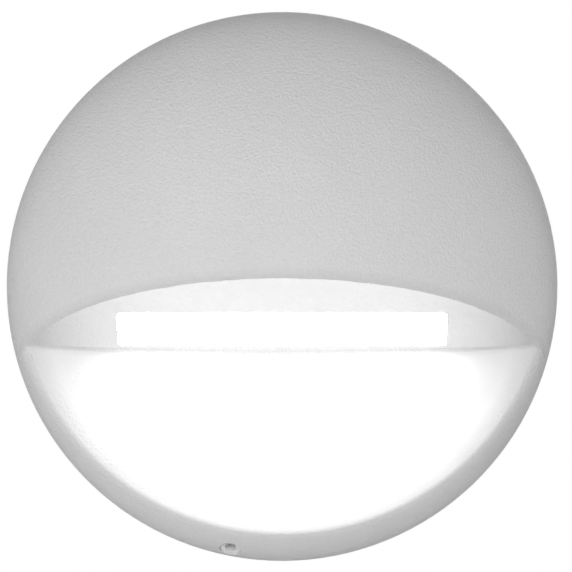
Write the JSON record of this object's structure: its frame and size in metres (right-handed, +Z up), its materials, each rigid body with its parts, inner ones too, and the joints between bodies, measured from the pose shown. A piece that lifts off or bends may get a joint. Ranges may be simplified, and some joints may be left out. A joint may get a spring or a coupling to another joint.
{
  "type": "deck light",
  "caption": "Round eyelid deck light: a white domed cover whose brow shields a lit lens over a shallow dish, slipped over a mounting ring and held by a set screw.",
  "frame": {"origin": "centre of the light on the deck face that it is screwed to", "axes": "+Z up, -Y the way the light faces, +Y into the deck, +X to the right as seen from the front"},
  "size_m": [0.078, 0.017, 0.078],
  "materials": {
    "powder_coat": "white powder coat with a fine orange-peel texture",
    "frosted_lens": "frosted opal, lit from behind",
    "clear_silicone": "translucent silicone",
    "led_phosphor": "phosphor on a white package",
    "white_board": "white solder mask on an aluminium core",
    "grey_pad": "soft grey thermal pad",
    "bare_aluminium": "machined",
    "plated_steel": "zinc plated",
    "green_board": "green solder mask on glass fibre",
    "terminal_plastic": "moulded",
    "black_package": "moulded epoxy",
    "capacitor_can": "drawn can",
    "ferrite": "moulded ferrite",
    "ivory_plastic": "moulded",
    "red_insulation": "extruded",
    "black_insulation": "extruded",
    "black_rubber": "moulded",
    "anodised_aluminium": "clear anodised sheet",
    "grey_foam": "closed-cell foam"
  },
  "bodies": {
    "mount": {"mounting_ring": "bare_aluminium", "wall_gasket": "grey_foam"},
    "head": {"front_cover": "powder_coat", "lens": "frosted_lens", "lens_bead": "clear_silicone", "led_chips": "led_phosphor", "led_board": "white_board", "thermal_pad": "grey_pad", "heat_spreader": "bare_aluminium", "led_board_screws": "plated_steel", "spreader_screws": "plated_steel", "driver_board": "green_board", "driver_screws": "plated_steel", "supply_terminal": "terminal_plastic", "rectifier": "black_package", "filter_capacitor": "capacitor_can", "inductor": "ferrite", "driver_chip": "black_package", "chip_resistors": "black_package", "led_connector": "ivory_plastic", "wire_red": "red_insulation", "wire_black": "black_insulation", "back_seal": "black_rubber", "back_cover": "anodised_aluminium", "back_cover_screws": "plated_steel", "lead_grommet": "black_rubber"},
    "set_screw": {"set_screw": "powder_coat"}
  },
  "joints": [
    {"name": "head_release", "type": "slide", "parent": "mount", "child": "head", "axis": [0, -1, 0], "range_m": [0, 0.02]},
    {"name": "set_screw_travel", "type": "slide", "parent": "head", "child": "set_screw", "axis": [-0.1395, -0.682, -0.7179], "range_m": [0, 0.0015]}
  ]
}
